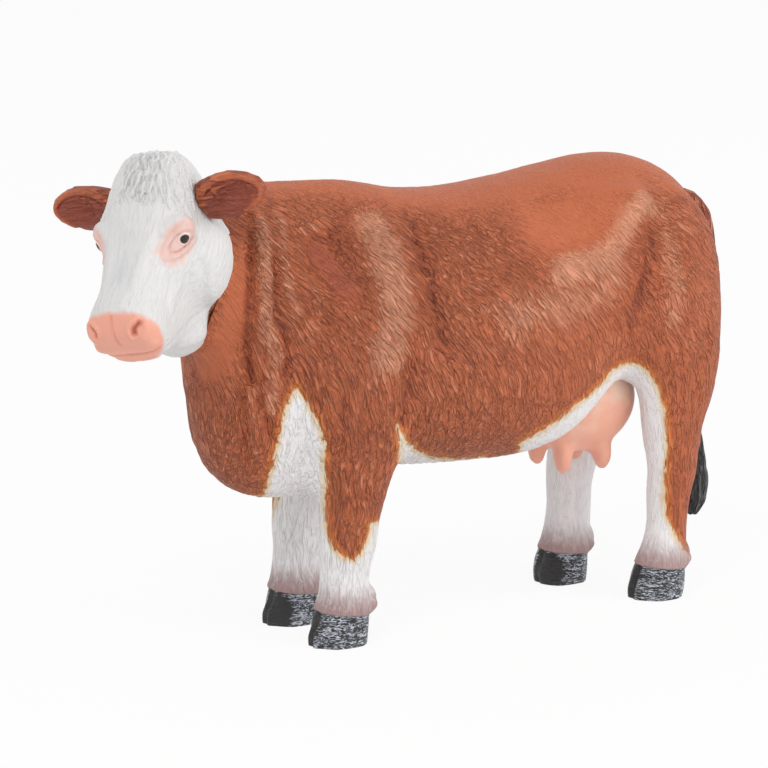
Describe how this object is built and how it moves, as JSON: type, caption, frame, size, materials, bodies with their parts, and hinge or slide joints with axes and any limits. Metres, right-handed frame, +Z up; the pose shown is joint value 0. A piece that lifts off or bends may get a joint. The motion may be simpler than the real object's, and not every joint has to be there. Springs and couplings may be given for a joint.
{
  "type": "toy farm animal figure",
  "caption": "Standing toy cow figure with her head turned to her left, built from plastic mouldings that plug together, resting on her hooves.",
  "frame": {"origin": "middle of the bounding box, at the height of the hoof soles", "axes": "she faces -X, her left side is at -Y, +Z is up"},
  "size_m": [0.1374, 0.0424, 0.0911],
  "materials": {
    "brown_coat": "hand-painted red-brown PVC with fur relief and a soft sheen",
    "white_face": "hand-painted white PVC with pink eye rims and muzzle",
    "brown_ears": "hand-painted red-brown PVC, darker in the hollow",
    "white_legs": "hand-painted white PVC, mauve at the fetlocks, dark brushed hooves",
    "pink_udder": "smooth pink PVC",
    "dark_tail": "hand-painted red-brown PVC with a black tuft"
  },
  "bodies": {
    "root": {"body_left_half": "brown_coat", "body_right_half": "brown_coat", "head": "white_face", "left_ear": "brown_ears", "right_ear": "brown_ears", "front_left_leg": "white_legs", "front_right_leg": "white_legs", "rear_left_leg": "white_legs", "rear_right_leg": "white_legs", "udder": "pink_udder", "tail": "dark_tail"}
  },
  "joints": []
}
